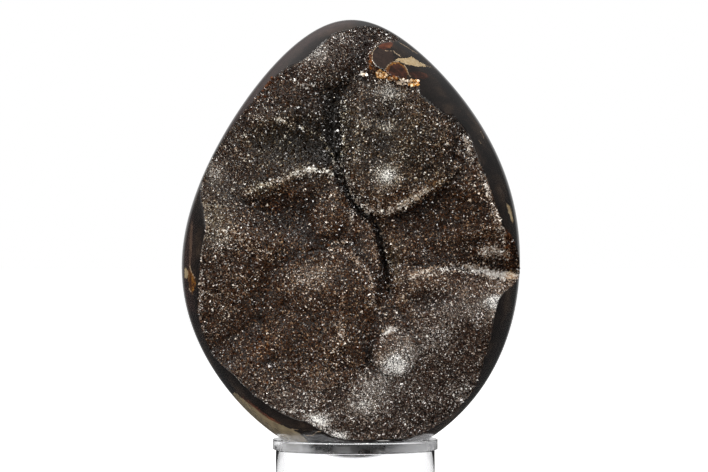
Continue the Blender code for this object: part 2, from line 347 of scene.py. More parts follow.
def place_points(x, depth, height):
    """Points of the egg's own frame, in millimetres, as metres in the part's frame."""
    return np.stack([x + AXIS_X, AXIS_Y - depth, height + BASE_Z], -1) * MM


def new_piece(name, points, faces, material, smooth=False):
    """A mesh object from arrays of points and of faces that all have the same number of sides."""
    mesh = bpy.data.meshes.new(name)
    sides = faces.shape[1]
    mesh.vertices.add(len(points))
    mesh.vertices.foreach_set("co", np.ascontiguousarray(points, dtype=np.float32).ravel())
    mesh.loops.add(faces.size)
    mesh.loops.foreach_set("vertex_index", np.ascontiguousarray(faces, dtype=np.int32).ravel())
    mesh.polygons.add(len(faces))
    mesh.polygons.foreach_set("loop_start", np.arange(0, faces.size, sides, dtype=np.int32))
    mesh.polygons.foreach_set("loop_total", np.full(len(faces), sides, dtype=np.int32))
    mesh.update(calc_edges=True)
    if smooth:
        mesh.shade_smooth()
    else:
        mesh.shade_flat()
    mesh.materials.append(material)
    obj = bpy.data.objects.new(name, mesh)
    bpy.context.scene.collection.objects.link(obj)
    return obj


def give(obj, name, values):
    """A number for each point of the mesh, which the material reads by its name."""
    layer = obj.data.attributes.new(name, "FLOAT", "POINT")
    layer.data.foreach_set("value", np.ascontiguousarray(values, dtype=np.float32))


def add(tree, kind, settings={}, links={}):
    """A node with its settings and its links in.

    A number names an input by its place, hex colours are turned linear, "stops" are a colour
    ramp's, and a node given as a source stands for its first output in use.
    """
    node = tree.nodes.new(kind)
    for key, value in settings.items():
        if isinstance(value, str) and value.startswith("#"):
            value = linear(value)
        if key == "stops":
            while len(node.color_ramp.elements) < len(value):
                node.color_ramp.elements.new(1.0)
            for element, (position, colour) in zip(node.color_ramp.elements, value):
                element.position = position
                element.color = linear(colour)
        elif isinstance(key, int) or key in node.inputs:
            node.inputs[key].default_value = value
        else:
            setattr(node, key, value)
    for key, source in links.items():
        if isinstance(source, bpy.types.Node):
            source = next(output for output in source.outputs if output.enabled)
        tree.links.new(source, node.inputs[key])
    return node


def new_material(name):
    """A material of a name, its node tree and its one shader."""
    material = bpy.data.materials.new(name)
    material.use_nodes = True
    tree = material.node_tree
    return material, tree, tree.nodes["Principled BSDF"]


def dark_calcite():
    """Calcite grown as small crystals: dark brown, smoky, olive or honey, and some of them pale.

    Its faces are as they grew, each a small mirror, so the crust glints point by point where a
    face turns to a lamp, and stays dark between.
    """
    material, tree, shader = new_material("dark_brown_calcite")
    # The shade read here also carries painted highlight on ridges and in bright patches, and painted shade in
    # creases and hollows
    shade, grey, honey, olive = (
        add(tree, "ShaderNodeAttribute", {"attribute_name": name}).outputs["Fac"]
        for name in ("shade", "grey", "honey", "olive")
    )
    ramps = [
        [(0, "#0a0402"), (0.3, "#2d190b"), (0.55, "#54341d"), (0.8, "#997d60"), (1, "#ede4d8")],
        [(0, "#090504"), (0.3, "#261812"), (0.55, "#4a3931"), (0.8, "#91877f"), (1, "#f2f1ef")],
        [(0, "#080603"), (0.3, "#251e12"), (0.55, "#49402d"), (0.8, "#8f8770"), (1, "#f0f1e6")],
        [(0, "#1c0a03"), (0.3, "#4d2309"), (0.55, "#8f5218"), (0.8, "#d19a4e"), (1, "#fbe3b4")],
    ]
    brown, smoky, mossy, golden = (
        add(tree, "ShaderNodeValToRGB", {"stops": stops}, {"Fac": shade}) for stops in ramps
    )
    colour = brown
    for amount, tint in ((grey, smoky), (olive, mossy), (honey, golden)):
        colour = add(tree, "ShaderNodeMix", {"data_type": "RGBA"}, {0: amount, 6: colour, 7: tint})
    tree.links.new(colour.outputs[2], shader.inputs["Base Color"])
    shader.inputs["Roughness"].default_value = 0.13
    shader.inputs["IOR"].default_value = 1.6
    return material


def calcite_bed():
    """The calcite between the crystals, too finely grown to shine: it gives the eye a dull dark ground."""
    material, tree, shader = new_material("dull_calcite_bed")
    shader.inputs["Base Color"].default_value = linear("#0e0906")
    shader.inputs["Roughness"].default_value = 0.7
    shader.inputs["IOR"].default_value = 1.6
    return material


def polished_limestone():
    """Near-black limestone, ground and polished: a dark mirror that shows the lamps sharply.

    Each inlay, where the polish cuts a vein or a fragment, is a distance in mm that the mesh
    carries, above 0 inside it, its edge made a little ragged by noise. At the back, islands of
    limestone about 30 mm across lie between veins of calcite.
    """
    material, tree, shader = new_material("polished_dark_limestone")
    place = add(tree, "ShaderNodeTexCoord").outputs["Object"]
    clouds = {"Scale": CLOUDS_PER_METRE, "Detail": 5.0, "Roughness": 0.6}
    clouds = add(tree, "ShaderNodeTexNoise", clouds, {"Vector": place})
    stone = add(
        tree, "ShaderNodeValToRGB",
        {"stops": [(0.32, "#0b0908"), (0.5, "#181311"), (0.62, "#28201a"), (0.72, "#3a3029")]},
        {"Fac": clouds},
    )
    specks = add(tree, "ShaderNodeTexNoise", {"Scale": SPECKS_PER_METRE, "Detail": 4.0}, {"Vector": place})
    ragged = add(tree, "ShaderNodeMapRange", {"To Min": -0.9, "To Max": 0.9}, {"Value": specks})

    bent = add(tree, "ShaderNodeMix", {"data_type": "RGBA", "blend_type": "LINEAR_LIGHT", 0: 0.012})
    bend = add(tree, "ShaderNodeTexNoise", {"Scale": BENDS_PER_METRE, "Detail": 3.0}, {"Vector": place})
    tree.links.new(place, bent.inputs[6])
    tree.links.new(bend.outputs["Color"], bent.inputs[7])
    edge = {"feature": "DISTANCE_TO_EDGE", "Scale": ISLANDS_PER_METRE}
    edge = add(tree, "ShaderNodeTexVoronoi", edge, {"Vector": bent})
    cell = add(tree, "ShaderNodeTexVoronoi", {"Scale": ISLANDS_PER_METRE}, {"Vector": bent})
    stops = [(0.0, "#17120f"), (0.5, "#241c17"), (0.72, "#4d4436"), (0.8, "#8c8268"), (1.0, "#a09478")]
    island = add(tree, "ShaderNodeValToRGB", {"stops": stops}, {"Fac": cell.outputs["Color"]})
    uneven = {"From Min": 0.3, "From Max": 0.7, "To Min": 0.45, "To Max": 1.7}
    uneven = add(tree, "ShaderNodeMapRange", uneven, {"Value": clouds})
    edge = add(tree, "ShaderNodeMath", {"operation": "MULTIPLY"}, {0: edge, 1: uneven})
    stops = [(0.0, "#3a2412"), (0.03, "#130c09"), (0.07, "#3d2410"), (0.084, "#9c7440"), (0.1, "#4a2f1a")]
    vein = add(tree, "ShaderNodeValToRGB", {"stops": stops}, {"Fac": edge})
    between = add(tree, "ShaderNodeMapRange", {"From Min": 0.09, "From Max": 0.105}, {"Value": edge})
    behind = add(tree, "ShaderNodeMix", {"data_type": "RGBA"}, {0: between, 6: vein, 7: island})
    middle = add(tree, "ShaderNodeSeparateXYZ", {}, {0: cell.outputs["Position"]})
    limit = (AXIS_Y + BACK_PATTERN_FROM) * MM
    whole = add(tree, "ShaderNodeMath", {"operation": "GREATER_THAN", 1: limit}, {0: middle.outputs["Y"]})
    back = add(tree, "ShaderNodeAttribute", {"attribute_name": "back"}).outputs["Fac"]
    back = add(tree, "ShaderNodeMath", {"operation": "MULTIPLY"}, {0: back, 1: whole})
    colour = add(tree, "ShaderNodeMix", {"data_type": "RGBA"}, {0: back, 6: stone, 7: behind})

    inside = {
        "plum": [(0.35, "#241715"), (0.6, "#3a2825")],
        "olive": [(0.3, "#5a5040"), (0.55, "#786c56"), (0.7, "#84785f")],
        "smoky": [(0.3, "#1c1512"), (0.7, "#2e231e")],
        "rusty": [(0.3, "#2b140c"), (0.5, "#4a2618"), (0.7, "#6c4229")],
        "umber": [(0.3, "#382b24"), (0.5, "#4b3b31"), (0.7, "#624e3e")],
        "amber": [(0.3, "#2c1607"), (0.48, "#4c2c0e"), (0.6, "#7a531f"), (0.72, "#ab8446")],
        "brown": [(0.35, "#1b0f0a"), (0.5, "#29160f"), (0.65, "#40241a")],
        "cream": [(0.3, "#86714f"), (0.5, "#9c8a6c"), (0.7, "#aa9c80")],
        # The lines also colour the one painted highlight streak
        "lines": [(0.3, "#6f5c48"), (0.7, "#a3917a")],
    }
    mottle = {"Scale": MOTTLES_PER_METRE, "Detail": 5.0, "Roughness": 0.65}
    mottle = add(tree, "ShaderNodeTexNoise", mottle, {"Vector": place})
    for name, stops in inside.items():
        reach = add(tree, "ShaderNodeAttribute", {"attribute_name": name}).outputs["Fac"]
        share = {"lines": 0.3, "plum": 4.0}.get(name, 1.0)
        soft = {"plum": 3.0}.get(name, 0.12)
        moved = add(tree, "ShaderNodeMath", {"operation": "MULTIPLY_ADD", 1: share}, {0: ragged, 2: reach})
        amount = add(tree, "ShaderNodeMapRange", {"From Min": -soft, "From Max": soft}, {"Value": moved})
        filling = add(tree, "ShaderNodeValToRGB", {"stops": stops}, {"Fac": mottle})
        colour = add(tree, "ShaderNodeMix", {"data_type": "RGBA"}, {0: amount, 6: colour, 7: filling})
    tree.links.new(colour.outputs[2], shader.inputs["Base Color"])
    shader.inputs["Roughness"].default_value = 0.07
    shader.inputs["IOR"].default_value = 1.55
    return material


def clear_acrylic():
    """Cast acrylic, polished: no colour of its own, only bright and dark lines where its edges bend light."""
    material, tree, shader = new_material("clear_acrylic")
    shader.inputs["Base Color"].default_value = linear("#fdfdfe")
    shader.inputs["Roughness"].default_value = 0.01
    shader.inputs["IOR"].default_value = 1.49
    shader.inputs["Transmission Weight"].default_value = 1.0
    return material


def turned_acrylic():
    """Acrylic left as it was turned, in the ring's bore: matt patches, which blur the dark stone behind."""
    material, tree, shader = new_material("turned_acrylic")
    shader.inputs["Base Color"].default_value = linear("#fdfdfe")
    shader.inputs["IOR"].default_value = 1.49
    shader.inputs["Transmission Weight"].default_value = 1.0
    place = add(tree, "ShaderNodeTexCoord").outputs["Object"]
    patches = add(tree, "ShaderNodeTexNoise", {"Scale": PATCHES_PER_METRE, "Detail": 3.0}, {"Vector": place})
    rough = {"From Min": 0.36, "From Max": 0.56, "To Min": 0.06, "To Max": 0.7}
    rough = add(tree, "ShaderNodeMapRange", rough, {"Value": patches})
    tree.links.new(rough.outputs["Result"], shader.inputs["Roughness"])
    return material


CALCITE = dark_calcite()
BED = calcite_bed()
LIMESTONE = polished_limestone()
ACRYLIC = clear_acrylic()
BORE = turned_acrylic()


# What the polish cuts through, in millimetres across the front and up it
INLAYS = {
    "plum": [
        [(-58, 150), (-46, 173), (-31, 192), (-16, 203), (0, 209), (5, 215), (-30, 214), (-75, 160)],
        [(-84, 124), (-76.8, 118), (-77, 108), (-77.4, 96), (-78, 88), (-77.6, 80), (-76, 72), (-84, 68)],
    ],
    "olive": [
        [(-56, 33), (-51.6, 30.1), (-48, 27.5), (-45.5, 25.4), (-42, 22.8), (-38.9, 20.7), (-35, 18.9),
         (-31.5, 17.2), (-28.6, 16), (-25.5, 14.4), (-23.4, 12.7), (-21, 10), (-30, 2), (-70, 20)],
    ],
    "smoky": [
        [(9.6, 193.5), (12, 195.2), (15, 195.4), (18.5, 194), (19.5, 191), (18.5, 187.8), (16.5, 187.2),
         (14.5, 185.6), (11, 186.8), (9.2, 190)],
    ],
    "rusty": [
        [(11.5, 196.2), (14, 198), (17.5, 198.9), (19, 198.4), (18.5, 196.6), (17, 195.4), (14, 195)],
        [(-54, 33.2), (-51, 30.6), (-47, 27.7), (-43, 24.5), (-38.5, 21.4), (-34, 19.2), (-34, 18.4),
         (-38.9, 20.4), (-43, 23.4), (-47, 26.5), (-51, 29.5)],
    ],
    "umber": [
        [(-77.3, 92), (-76.3, 93), (-75.8, 100), (-75.7, 108), (-75.6, 114), (-76.6, 114), (-77, 108),
         (-77.2, 100)],
    ],
    "amber": [
        [(15.2, 184.6), (16.4, 186.6), (18.4, 188.3), (21.2, 188.8), (23.6, 187.4), (25.2, 185.2),
         (25.8, 182.6), (25, 180.8), (21, 180.6), (17.5, 181.2), (15.4, 182.8)],
        [(-77.9, 91.5), (-76.6, 91.2), (-75.4, 89.6), (-73.8, 87), (-73.9, 84), (-75, 81), (-75.6, 79.6),
         (-76.6, 81.5), (-77.4, 85)],
    ],
    "brown": [
        [(16.8, 183.6), (17.4, 186.2), (19.2, 187.9), (21.8, 187.9), (24, 186.4), (25.2, 183.8),
         (25.4, 181.2), (19, 180.6), (17.2, 181.8)],
        [(26.4, 183.8), (29, 184.6), (33.5, 184), (36.5, 182.4), (34, 181), (29.5, 181), (27, 181.4)],
        [(-76.8, 88), (-76, 85.5), (-76.3, 82.5), (-77.2, 84.5)],
    ],
    "cream": [
        [(19, 189.9), (21.5, 190.7), (26, 191), (27.6, 191.9), (30, 190.3), (33.5, 188.4), (37, 187.2),
         (31, 187), (27, 187.3), (24, 188.2), (21.5, 189.1)],
        [(72.2, 122.6), (74.3, 121), (76, 114.4), (75.2, 113), (73.4, 118.3)],
        [(-79.6, 92.5), (-78, 91), (-77.6, 88.5), (-78.2, 87), (-80, 87)],
    ],
}

# Hair-thin pale veins and scratches, with their half widths; one of them is a painted highlight
VEINS = [
    (0.2, [(15.2, 194.3), (17, 194), (19, 194.6), (19.9, 193.3), (21.5, 192.3), (22.5, 191.4)]),
    (0.22, [(12, 196.5), (10, 194.8), (9, 192), (9.2, 189), (10.5, 186.6)]),
    (0.22, [(14.8, 184.8), (16.4, 186.9), (18.6, 188.6), (21.4, 189)]),
    (0.16, [(24, 187.6), (25.4, 185.2), (26.2, 182.6), (27.5, 181.6)]),
    # A painted highlight: a thin pale streak near the top edge, where the lamps reflect in the polish
    (0.14, [(22, 198.8), (25, 197), (28, 195.2), (31, 193.4)]),
    (0.14, [(60.4, 156.6), (61.4, 154.8), (62, 153)]),
    (0.14, [(58.6, 152.6), (59.6, 151.6), (60.6, 150)]),
    (0.3, [(-76.9, 93), (-76.2, 90.4), (-75, 88.6), (-73.8, 86.6)]),
    (0.3, [(-77.3, 82.3), (-76.4, 80.8), (-75.4, 79.8)]),
    (0.2, [(-31, 16.8), (-28, 16.2), (-24, 15.9), (-19, 15.9), (-15, 15.5)]),
    (0.2, [(-22, 13.4), (-19.5, 13.4), (-17.6, 14.8)]),
]


def polished_egg():
    """The whole stone on a grid of turns and heights, with the turns closest where the inlays are.

    A point is the radius at its height, times the sine and cosine of its turn. Where the egg's
    skin lies in front of the broken face's bed, the point is drawn back behind the bed, and the
    points next to those that stay are moved onto the rim between the two.
    """
    spans = [(-100, -50, 0.5), (-50, 10, 2.0), (10, 75, 0.5), (75, 100, 1.0), (100, 260, 1.6)]
    angle = np.radians(np.concatenate([np.arange(*span) for span in spans]))
    turns = len(angle)
    rings = 236
    centre_radius = 4.0
    furthest_move = 2.5
    half = (EGG_HEIGHT + EGG_POLE_BELOW_FLAT) / 2
    middle = (EGG_HEIGHT - EGG_POLE_BELOW_FLAT) / 2
    flat_turn = np.arccos(middle / half)
    heights = middle - half * np.cos(np.linspace(flat_turn, np.pi, rings + 1))
    heights = np.concatenate([[0.0, 0.0], heights[1:-1]])
    radii = egg_radius(heights)
    radii[0] = centre_radius
    height, turn = np.meshgrid(heights, angle, indexing="ij")
    x = radii[:, None] * np.sin(turn) + egg_lean(height)
    depth = radii[:, None] * np.cos(turn)
    room = np.where((height < LOWEST_BREAK) | (depth < 0), -1e3, depth - DEPTH.at(x, height))
    open_air = room > 0
    beside = np.zeros(room.shape, dtype=bool)
    for axis in (0, 1):
        for step in (-1, 1):
            beside |= ~np.roll(open_air, step, axis)
    beside &= open_air
    depth = np.where(open_air, BEHIND.at(x, height), depth)
    rim_x, rim_height = onto_the_rim(x[beside], height[beside])
    moved = np.hypot(rim_x - x[beside], rim_height - height[beside])
    kept = (moved < furthest_move) & (rim_height > LOWEST_BREAK)
    x[beside] = np.where(kept, rim_x, x[beside])
    height[beside] = np.where(kept, rim_height, height[beside])
    depth[beside] = np.where(kept, np.maximum(egg_front(x[beside], height[beside]), 0), depth[beside])
    points = place_points(x, depth, height).reshape(-1, 3)
    ends = place_points(egg_lean(np.array([0.0, EGG_HEIGHT])), np.zeros(2), np.array([0.0, EGG_HEIGHT]))
    number = np.arange(len(heights) * turns).reshape(len(heights), turns)
    right = np.roll(number, -1, axis=1)
    body = np.stack([number[:-1], number[1:], right[1:], right[:-1]], -1).reshape(-1, 4)
    triangles = np.concatenate([
        body[:, [0, 1, 2]],
        body[:, [0, 2, 3]],
        np.stack([np.full(turns, number.size), number[0], right[0]], -1),
        np.stack([np.full(turns, number.size + 1), right[-1], number[-1]], -1),
    ])
    piece = new_piece("polished_egg", np.concatenate([points, ends]), triangles, LIMESTONE, smooth=True)
    x, depth, height = (np.concatenate([values.ravel(), [0, 0]]) for values in (x, depth, height))
    front = np.clip((depth + 14) / 2, -6, 6)
    for name, outlines in INLAYS.items():
        reach = np.maximum.reduce([inside_distance(x, height, outline) for outline in outlines])
        give(piece, name, np.minimum(np.clip(reach, -6, 6), front - 5 * (name == "plum")))
    # Veins and scratches, with the one painted highlight streak among them
    reach = np.maximum.reduce([width - along_path(points, x, height)[0] for width, points in VEINS])
    give(piece, "lines", np.minimum(np.clip(reach, -6, 6), front))
    give(piece, "back", np.clip((-2 - depth) / 3, 0, 1))
    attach(piece, "root")
    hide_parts("nodule")


def onto_the_rim(x, z):
    """Points moved along the slope of the room under the egg's skin until they stand where it ends."""
    for _ in range(8):
        room, slope_x, slope_z = (
            egg_front(x + dx, z + dz) - DEPTH.at(x + dx, z + dz) for dx, dz in ((0, 0), (0.05, 0), (0, 0.05))
        )
        slope_x = (slope_x - room) / 0.05
        slope_z = (slope_z - room) / 0.05
        steep = np.maximum(slope_x**2 + slope_z**2, 0.05)
        x = x - np.clip(room * slope_x / steep, -1.5, 1.5)
        z = z - np.clip(room * slope_z / steep, -1.5, 1.5)
    return x, z


def onto_the_face(x, z):
    """Points drawn in towards the middle until the egg's skin is half a millimetre or more over them."""
    for _ in range(12):
        outside = egg_front(x, z) - DEPTH.at(x, z) < 0.5
        x = np.where(outside, x - 0.4 * np.sign(x), x)
        z = np.where(outside, z - 0.2 * np.sign(z - FACE_CENTRE[1]), z)
    return x, z


def druse_bed():
    """The crust that the crystals stand on: the face's depth on a grid, and a copy of it set back.

    Cells with no corner under the egg's skin are left out, corners past the skin are moved onto
    the rim, and the two sheets are joined along the edges that have only one cell.
    """
    step = 0.9
    x, z = np.meshgrid(np.arange(-84, 84.1, step), np.arange(LOWEST_BREAK + GAP, 214, step))
    room = egg_front(x, z) - DEPTH.at(x, z)
    inside = room > 0
    cell = inside[:-1, :-1] | inside[1:, :-1] | inside[1:, 1:] | inside[:-1, 1:]
    number = np.arange(x.size).reshape(x.shape)
    quads = np.stack([number[:-1, :-1], number[:-1, 1:], number[1:, 1:], number[1:, :-1]], -1)[cell]
    used, quads = np.unique(quads, return_inverse=True)
    quads = quads.reshape(-1, 4)
    x = x.ravel()[used]
    z = z.ravel()[used]
    outside = ~inside.ravel()[used]

    front_x = x.copy()
    front_z = z.copy()
    front_x[outside], front_z[outside] = onto_the_rim(x[outside], z[outside])
    front_z = np.maximum(front_z, LOWEST_BREAK + GAP)
    front = place_points(front_x, DEPTH.at(front_x, front_z), front_z)
    edges = np.concatenate([quads[:, [0, 1]], quads[:, [1, 2]], quads[:, [2, 3]], quads[:, [3, 0]]])
    keys = np.sort(edges, axis=1)
    _, first, counts = np.unique(keys, axis=0, return_index=True, return_counts=True)
    border = edges[first[counts == 1]]
    back = place_points(front_x, DEPTH.at(front_x, front_z) - CRUST_THICKNESS, front_z)
    count = len(front)
    shell = np.concatenate([
        quads,
        quads[:, ::-1] + count,
        np.stack([border[:, 1], border[:, 0], border[:, 0] + count, border[:, 1] + count], -1),
    ])
    piece = new_piece("crystal_bed", np.concatenate([front, back]), shell, BED)
    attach(piece, "root")
    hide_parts("crystal_crust")


# Lines of paler crystals along ridges and edges, partly painted highlight where the ridges catch the lamps:
# half width in mm, strength, and points across the face and up it
PALE_AND_HIGHLIT_LINES = {
    "left ridge": (
        1.1, 0.75,
        [(-51, 126.5), (-47, 129.3), (-42, 131.2), (-36, 132.3), (-31, 134), (-27, 136.3)],
    ),
    "left ridge, right half": (
        1.3, 1.9,
        [(-29, 135.2), (-25, 137.2), (-21, 137.8), (-17, 138), (-12, 137), (-9, 135)],
    ),
    "top of the small lobe": (1.2, 0.7, [(-12.5, 125), (-9.5, 126.8), (-6.5, 125.5)]),
    "white spot by the fissure": (2.0, 1.5, [(-1, 115.5), (0.5, 114.5), (1, 113.5)]),
    "faint upper ridge": (1.0, 0.22, [(-50, 164), (-34, 161), (-24, 158), (-17, 155)]),
    "left end of it": (0.8, 0.7, [(-53, 166), (-50, 165), (-46, 164)]),
    "white specks on it": (0.9, 1.3, [(-36, 162.3), (-33.5, 161.6), (-31.8, 160.3)]),
    "bright end of it": (
        1.1, 0.7,
        [(-17, 155), (-14, 153), (-12, 149), (-10, 145), (-8, 142), (-5, 140)],
    ),
    "lip, left": (1.2, 0.75, [(-3, 174), (-4.4, 168), (-4.8, 160), (-4.4, 154), (-4.2, 148), (-5, 143)]),
    "lip, at the top": (1.0, 0.8, [(7, 183), (3, 183.5), (1, 182), (0.5, 178)]),
    "lip, white specks": (1.1, 1.3, [(-5.6, 170.4), (-4.8, 168.6), (-3.8, 167.6)]),
    "corner of the lip": (1.5, 1.6, [(-9, 142.5), (-7, 141), (-5, 140.5)]),
    "lip, below": (
        1.6, 1.2,
        [(-5, 138), (-2, 133), (0, 126), (3, 122), (9, 119), (17, 119), (24, 122), (30, 126), (36, 129)],
    ),
    "lip, right": (1.4, 0.5, [(36, 129), (41, 132), (46, 136), (50, 140)]),
    "right rim": (
        1.2, 1.1,
        [(51, 156), (54, 149), (58, 140), (62, 131), (65, 124), (67, 118), (69, 112), (72, 104), (74, 96)],
    ),
    "right ridge": (1.8, 0.8, [(27, 87), (31, 89), (37, 91), (42, 91)]),
    "right ridge, right half": (
        2.0, 1.9,
        [(40, 90.5), (46, 92), (52, 91.5), (59, 90.5), (65, 89), (71, 88), (78, 89)],
    ),
    "start of the right ridge": (1.6, 0.65, [(17, 84), (20, 86), (24, 86), (28, 88)]),
    "blob over the gully": (2.8, 1.0, [(60, 99), (65, 101), (71, 99)]),
    "right side of the fissure": (0.9, 0.6, [(14, 110), (14, 101), (16, 96), (19, 92), (22, 88)]),
    "left side of the fissure": (0.8, 0.4, [(-1, 121), (4, 117), (9, 108), (11, 98), (13, 91), (12, 86)]),
    "knob's arc": (1.3, 2.6, [(13.2, 57.5), (14.2, 60), (16, 62), (18.5, 63.2), (21, 63.2)]),
    "end of the arc": (0.8, 0.9, [(21, 63.2), (24, 62.7), (27, 63.3)]),
    "left of the knob": (1.0, 0.3, [(12, 57), (10, 53), (10, 49), (12, 45), (15, 42)]),
    "crescent": (1.2, 0.25, [(-32, 86), (-30, 91), (-24, 95), (-16, 97), (-10, 100)]),
    "crescent, right": (
        1.1, 0.6,
        [(-12, 100), (-6, 101), (-2, 98.5), (3, 94), (7.5, 88.5), (9.6, 82), (9.2, 74)],
    ),
    "dash over the crescent": (1.0, 0.9, [(-9, 103), (-5, 104), (-1, 104)]),
    "upright line": (0.8, 0.6, [(-5, 80), (-5, 73), (-6, 66), (-5, 61), (-7, 56), (-10, 52)]),
    "curl at upper left": (1.0, 1.3, [(-28, 181), (-25, 179), (-21, 177.5), (-18, 178)]),
    "lower left edge": (1.4, 0.9, [(-34, 25.5), (-28, 25.5), (-22, 23.5), (-16, 20.5), (-12, 17)]),
    "left edge": (1.0, 0.8, [(-70, 124), (-71, 112), (-71, 98), (-71, 84), (-72, 70), (-69, 60)]),
    "left band": (3.5, 0.35, [(-69, 120), (-56, 108), (-44, 100), (-36, 96)]),
}

# Creases, and the ground under ridges and lobes, given darker crystals as painted shade, in the same way
PAINTED_SHADE_LINES = {
    "fissure": (
        1.3, 1.0,
        [(-9, 139), (-6, 132), (-2, 126), (2, 119), (7, 115), (10, 112), (12, 104), (14, 96), (15, 90),
         (16, 87)],
    ),
    "upper valley": (3.8, 0.45, [(-8, 174), (-9.5, 168), (-10.5, 158), (-10.5, 148), (-11, 142)]),
    "under the lip": (
        1.4, 0.1,
        [(2, 119), (9, 115.5), (18, 115.5), (26, 118), (34, 124), (42, 129), (50, 135)],
    ),
    "under the left ridge": (2.2, 0.15, [(-50, 124), (-40, 127), (-30, 130), (-20, 134), (-12, 134)]),
    "left of the knob": (1.5, 0.6, [(7, 60), (6, 54), (8, 47)]),
    "beside the crescent": (1.8, 0.55, [(1, 102), (5, 97.5), (9.5, 91.5), (11.8, 85), (12, 79)]),
    "round the small lobe": (1.8, 0.4, [(-20, 106), (-24, 112), (-23, 119), (-19, 125)]),
    "left of the standing stone": (3.0, 0.45, [(8, 199), (6, 193), (5, 187)]),
    "under the small lobe": (1.8, 0.4, [(-14, 104), (-7, 101.8), (0, 104), (4, 109)]),
}

# Patches of pale frosted crystals, partly painted highlight where the face turns to a lamp: across, up, half
# width, half height, strength
FROST_AND_HIGHLIGHTS = {
    "bright spot on the upper lobe": (16.5, 135.5, 7, 5.2, 1.9),
    "tail under it": (14, 131, 6, 4, 0.3),
    "haze round it": (18, 139, 15, 11, 0.03),
    "top of the upper lobe": (17, 174.5, 8, 6, 1.4),
    "left of that": (5, 177, 6, 4, 0.25),
    "middle of the upper lobe": (16, 158, 5, 4, 1.2),
    "beside the middle": (6, 160, 4, 3.2, 0.55),
    "edge at the right": (56, 146, 4, 9, 0.15),
    "knob": (19.8, 46, 6, 5.2, 2.8),
    "halo of the knob": (23, 49.5, 10, 8, 0.55),
    "haze over the knob": (26, 54, 13, 11, 0.45),
    "haze right of the knob": (38, 60, 13, 9, 0.4),
    "haze towards the edge": (56, 71, 14, 7, 0.4),
    "bright edge at the right": (67.5, 76, 6, 3.4, 4.5),
    "under the knob": (12, 37, 9, 7, 1.0),
    "bottom": (5, 27, 6.5, 6, 1.2),
    "bottom left": (-7, 13, 5, 3, 3.0),
    "lower left edge": (-16, 21, 7, 4, 2.2),
    "upper left edge": (-18, 194, 7, 5, 1.8),
    "top rim": (-6, 202, 11, 4, 0.65),
    "left corner": (-66, 136, 9, 9, 0.8),
    "left shoulder": (-64, 105, 7, 5, 0.75),
    "left haze": (-62, 118, 14, 16, 0.25),
    "lower left crown": (-18, 89, 12, 6, 0.65),
    "small round lobe": (-11, 124, 7, 4, 0.15),
    "lower left haze": (-22, 34, 22, 9, 0.2),
    "bottom haze": (5, 20, 32, 12, 0.12),
    "left foot": (-62, 74, 12, 9, 0.3),
    "below the left foot": (-64, 62, 6, 6, 0.35),
    "lower right sparkle": (51, 37, 12, 9, 0.5),
}

# How grey (above 0) or red brown (below 0) the plates are, and how much lighter or darker: partly their own
# tone, partly painted shade where a plate lies in shade
PLATES = [
    (-32, 115, 32, 20, -0.9, -0.45), (-20, 68, 50, 34, -0.8, -0.1), (40, 112, 34, 24, -0.7, -0.1),
    # The plates at upper left and beside the upper valley are darkened as painted shade
    (20, 150, 38, 36, -0.2, -0.3), (-30, 152, 32, 20, 0.2, -0.35), (-14, 158, 14, 24, 0.4, -0.55),
    (-5, 195, 34, 20, 0.8, -0.1), (45, 48, 42, 34, 0.8, 0.2), (0, 22, 60, 20, 0.9, 0.35),
    (-62, 112, 18, 50, 0.2, 0.1),
]


def near_lines(x, z, lines):
    """How close each point is to the nearest line: 1 on it, fading over its half width."""
    amount = np.zeros(x.shape)
    for half_width, strength, points in lines.values():
        away, _, share = along_path(points, x, z)
        fade = np.clip(np.minimum(share, 1 - share) / 0.08 + 0.4, 0, 1)
        amount = np.maximum(amount, strength * fade * np.exp(-((away / half_width) ** 2)))
    return amount


def in_patches(x, z, patches):
    """How much of the soft round patches lies at each point."""
    amount = np.zeros(x.shape)
    for cx, cz, half_width, half_height, strength in patches.values():
        reach = ((x - cx) / half_width) ** 2 + ((z - cz) / half_height) ** 2
        amount = amount + strength * np.exp(-1.6 * reach)
    return amount


def plate_tones(x, z):
    """Greyness and lightness of the plates, each fading out softly at its edge."""
    grey = np.zeros(x.shape)
    light = np.zeros(x.shape)
    for cx, cz, half_width, half_height, greyness, lightness in PLATES:
        reach = ((x - cx) / half_width) ** 2 + ((z - cz) / half_height) ** 2
        amount = 1 / (1 + np.exp(6 * (reach - 1)))
        grey = grey + greyness * amount
        light = light + lightness * amount
    return grey, light


# Where the crystals are honey coloured or rusty
TINTED = {
    "left of the amber": (13.5, 183.5, 3.5, 3, 1.0),
    "amber block": (29, 179, 4, 3, 1.2),
    "between them": (22, 179.5, 3, 2, 0.3),
    "edge of the standing stone": (8.5, 190, 1.5, 5, 0.6),
    "upper left rim": (-46, 174, 2.5, 4, 0.3),
    "upper left rim, above": (-39, 182, 4, 3, 0.3),
    "right end of the lip": (41, 132, 6, 4, 0.2),
    "right rim": (73, 103, 2, 9, 0.35),
    "end of the right ridge": (75, 90, 3, 6, 0.5),
    "left crown": (-31, 128, 6, 3, 0.2),
    "over the crescent": (-6, 101, 6, 3, 0.12),
    "spot under the left ridge": (-37, 120, 3, 3, 0.5),
    "lower left speckle": (-43, 55, 6, 6, 0.3),
}

# Where they are olive rather than red brown or mauve
OLIVE_PATCHES = {
    "upper right lobe": (20, 152, 36, 34, 0.55),
    "upper left": (-32, 150, 30, 22, 0.7),
    "upper valley": (-8, 165, 12, 25, 0.4),
    "left edge": (-66, 118, 14, 22, 0.5),
    "left ridge": (-44, 130, 10, 5, 0.5),
    "end of the lip": (42, 133, 8, 6, 0.4),
    "beside the fissure": (19, 96, 5, 14, 0.5),
}

# Pale crystals with painted highlight along the lines
PALE_AND_HIGHLIT = Field(near_lines(grid_x, grid_z, PALE_AND_HIGHLIT_LINES))
